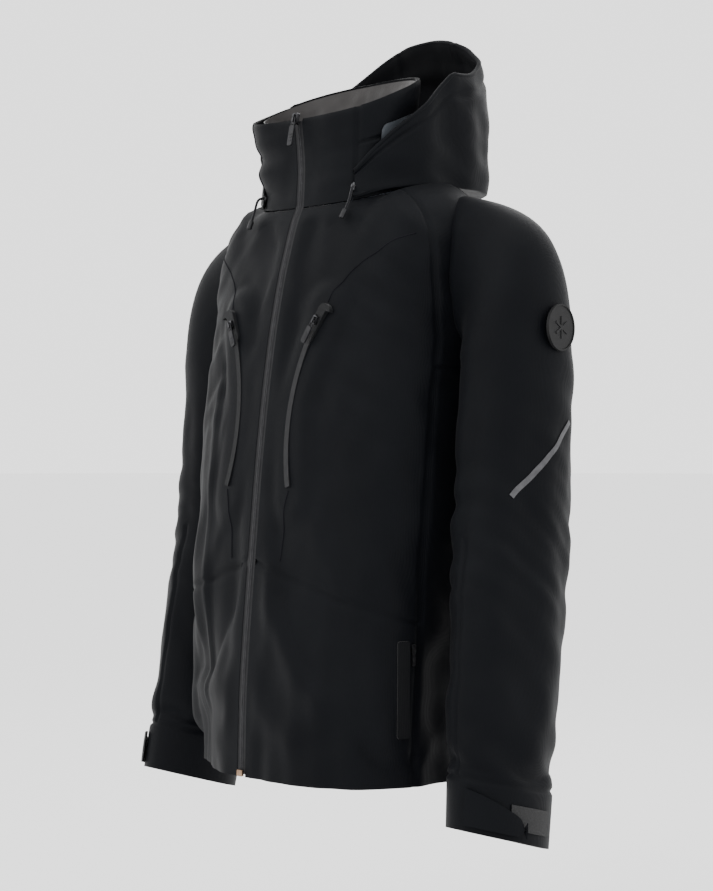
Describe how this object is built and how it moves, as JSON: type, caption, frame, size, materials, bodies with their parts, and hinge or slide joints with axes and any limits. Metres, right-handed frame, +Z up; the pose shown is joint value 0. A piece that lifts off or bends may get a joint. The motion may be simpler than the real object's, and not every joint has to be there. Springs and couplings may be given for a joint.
{
  "type": "ski jacket",
  "caption": "Insulated dark ski jacket with stand-up collar, attached hood, full front zip, arched chest pockets and adjustable cuffs.",
  "frame": {"origin": "centre of the neck opening, level with the collar seam", "axes": "+Z up, front towards -Y, the wearer's left towards +X"},
  "size_m": [0.6326, 0.3199, 0.9216],
  "materials": {
    "back_panel": "woven shell",
    "back_yoke": "woven shell",
    "body_lining": "satin",
    "chest_garage_left": "woven shell",
    "chest_garage_right": "woven shell",
    "chest_pocket_bags": "woven",
    "chest_puller_left": "moulded",
    "chest_puller_right": "moulded",
    "chest_slider_left": "dark nickel",
    "chest_slider_right": "dark nickel",
    "chest_tape_left": "woven zip tape",
    "chest_tape_right": "woven zip tape",
    "collar_lining": "satin",
    "collar_shell": "woven shell",
    "cord_eyelet_left": "moulded",
    "cord_eyelet_right": "moulded",
    "cord_tip_left": "moulded",
    "cord_tip_right": "moulded",
    "cuff_band_left": "woven shell",
    "cuff_band_right": "woven shell",
    "cuff_tab_left": "woven shell",
    "cuff_tab_right": "woven shell",
    "forearm_sleeve_left": "woven shell",
    "forearm_sleeve_right": "woven shell",
    "front_panel_left": "woven shell",
    "front_panel_right": "woven shell",
    "grip_patch_left": "woven shell",
    "grip_patch_right": "woven shell",
    "hand_pocket_bags": "woven",
    "hand_slider_left": "dark nickel",
    "hand_slider_right": "dark nickel",
    "hand_welt_left": "woven shell",
    "hand_welt_right": "woven shell",
    "hanger_loop": "woven shell",
    "hood_centre": "woven shell",
    "hood_cord_left": "woven shell",
    "hood_cord_right": "woven shell",
    "hood_lining": "woven",
    "hood_side_left": "woven shell",
    "hood_side_right": "woven shell",
    "lower_front_panel_left": "woven shell",
    "lower_front_panel_right": "woven shell",
    "main_puller": "moulded",
    "main_slider": "dark nickel",
    "powder_skirt": "woven",
    "reflective_strip_left": "reflective tape",
    "reflective_strip_right": "reflective tape",
    "shoulder_panel_left": "woven shell",
    "shoulder_panel_right": "woven shell",
    "side_panel_left": "woven shell",
    "side_panel_right": "woven shell",
    "sleeve_badge": "moulded rubber",
    "storm_flap": "woven shell",
    "upper_sleeve_left": "woven shell",
    "upper_sleeve_right": "woven shell",
    "wadding": "wadding",
    "zip_box": "dark nickel",
    "zip_tape_left": "woven zip tape",
    "zip_tape_right": "woven zip tape"
  },
  "bodies": {
    "body": {"back_panel": "back_panel", "back_yoke": "back_yoke", "body_lining": "body_lining", "chest_garage_left": "chest_garage_left", "chest_garage_right": "chest_garage_right", "chest_pocket_bags": "chest_pocket_bags", "chest_tape_left": "chest_tape_left", "chest_tape_right": "chest_tape_right", "collar_lining": "collar_lining", "collar_shell": "collar_shell", "cord_eyelet_left": "cord_eyelet_left", "cord_eyelet_right": "cord_eyelet_right", "cord_tip_left": "cord_tip_left", "cord_tip_right": "cord_tip_right", "front_panel_left": "front_panel_left", "front_panel_right": "front_panel_right", "hand_pocket_bags": "hand_pocket_bags", "hand_welt_left": "hand_welt_left", "hand_welt_right": "hand_welt_right", "hanger_loop": "hanger_loop", "hood_cord_left": "hood_cord_left", "hood_cord_right": "hood_cord_right", "lower_front_panel_left": "lower_front_panel_left", "lower_front_panel_right": "lower_front_panel_right", "powder_skirt": "powder_skirt", "shoulder_panel_left": "shoulder_panel_left", "shoulder_panel_right": "shoulder_panel_right", "side_panel_left": "side_panel_left", "side_panel_right": "side_panel_right", "storm_flap": "storm_flap", "wadding": "wadding", "zip_box": "zip_box", "zip_tape_left": "zip_tape_left", "zip_tape_right": "zip_tape_right"},
    "main_slider": {"main_slider": "main_slider"},
    "main_puller": {"main_puller": "main_puller"},
    "hood": {"hood_centre": "hood_centre", "hood_side_left": "hood_side_left", "hood_side_right": "hood_side_right", "hood_lining": "hood_lining"},
    "upper_arm_left": {"upper_sleeve_left": "upper_sleeve_left", "reflective_strip_left": "reflective_strip_left", "sleeve_badge": "sleeve_badge"},
    "forearm_left": {"forearm_sleeve_left": "forearm_sleeve_left", "cuff_band_left": "cuff_band_left", "grip_patch_left": "grip_patch_left"},
    "cuff_tab_left": {"cuff_tab_left": "cuff_tab_left"},
    "chest_slider_left": {"chest_slider_left": "chest_slider_left"},
    "chest_puller_left": {"chest_puller_left": "chest_puller_left"},
    "hand_slider_left": {"hand_slider_left": "hand_slider_left"},
    "upper_arm_right": {"upper_sleeve_right": "upper_sleeve_right", "reflective_strip_right": "reflective_strip_right"},
    "forearm_right": {"forearm_sleeve_right": "forearm_sleeve_right", "cuff_band_right": "cuff_band_right", "grip_patch_right": "grip_patch_right"},
    "cuff_tab_right": {"cuff_tab_right": "cuff_tab_right"},
    "chest_slider_right": {"chest_slider_right": "chest_slider_right"},
    "chest_puller_right": {"chest_puller_right": "chest_puller_right"},
    "hand_slider_right": {"hand_slider_right": "hand_slider_right"}
  },
  "joints": [
    {"name": "main_zip_travel", "type": "hinge", "parent": "body", "child": "main_slider", "pos_m": [0, 4.85429, -0.84591], "axis": [1, 0, 0], "range_deg": [0, 8.32]},
    {"name": "main_puller_flip", "type": "hinge", "parent": "main_slider", "child": "main_puller", "pos_m": [0, -0.0723, 0.09702], "axis": [-1, 0, 0], "range_deg": [0, 150]},
    {"name": "hood_lift", "type": "hinge", "parent": "body", "child": "hood", "pos_m": [0, -0.066, 0.026], "axis": [1, 0, 0], "range_deg": [0, 35]},
    {"name": "shoulder_left", "type": "hinge", "parent": "body", "child": "upper_arm_left", "pos_m": [0.145, 0.014, -0.089], "axis": [-1, 0, 0], "range_deg": [-20, 100]},
    {"name": "elbow_left", "type": "hinge", "parent": "upper_arm_left", "child": "forearm_left", "pos_m": [0.244, 0.031, -0.372], "axis": [-1, 0, 0], "range_deg": [0, 58]},
    {"name": "cuff_tab_left", "type": "hinge", "parent": "forearm_left", "child": "cuff_tab_left", "pos_m": [0.27826, -0.0742, -0.65012], "axis": [0, -0.2541, -0.9672], "range_deg": [0, 32]},
    {"name": "chest_zip_left", "type": "hinge", "parent": "body", "child": "chest_slider_left", "pos_m": [0.2913, -0.10842, -0.25568], "axis": [0.0432, -0.9903, 0.1321], "range_deg": [0, 41.2]},
    {"name": "chest_puller_flip_left", "type": "hinge", "parent": "chest_slider_left", "child": "chest_puller_left", "pos_m": [0.07451, -0.10705, -0.13728], "axis": [-0.8787, 0.0252, 0.4768], "range_deg": [0, 150]},
    {"name": "hand_zip_left", "type": "slide", "parent": "body", "child": "hand_slider_left", "axis": [-0.0098, 0.0024, -0.9999], "range_m": [0, 0.079]},
    {"name": "shoulder_right", "type": "hinge", "parent": "body", "child": "upper_arm_right", "pos_m": [-0.145, 0.014, -0.089], "axis": [-1, 0, 0], "range_deg": [-20, 100]},
    {"name": "elbow_right", "type": "hinge", "parent": "upper_arm_right", "child": "forearm_right", "pos_m": [-0.244, 0.031, -0.372], "axis": [-1, 0, 0], "range_deg": [0, 58]},
    {"name": "cuff_tab_right", "type": "hinge", "parent": "forearm_right", "child": "cuff_tab_right", "pos_m": [-0.27826, -0.0742, -0.65012], "axis": [0, 0.2541, 0.9672], "range_deg": [0, 32]},
    {"name": "chest_zip_right", "type": "hinge", "parent": "body", "child": "chest_slider_right", "pos_m": [-0.2913, -0.10842, -0.25568], "axis": [0.0432, 0.9903, -0.1321], "range_deg": [0, 41.2]},
    {"name": "chest_puller_flip_right", "type": "hinge", "parent": "chest_slider_right", "child": "chest_puller_right", "pos_m": [-0.07451, -0.10705, -0.13728], "axis": [-0.8787, -0.0252, -0.4768], "range_deg": [0, 150]},
    {"name": "hand_zip_right", "type": "slide", "parent": "body", "child": "hand_slider_right", "axis": [0.0098, 0.0024, -0.9999], "range_m": [0, 0.079]}
  ]
}
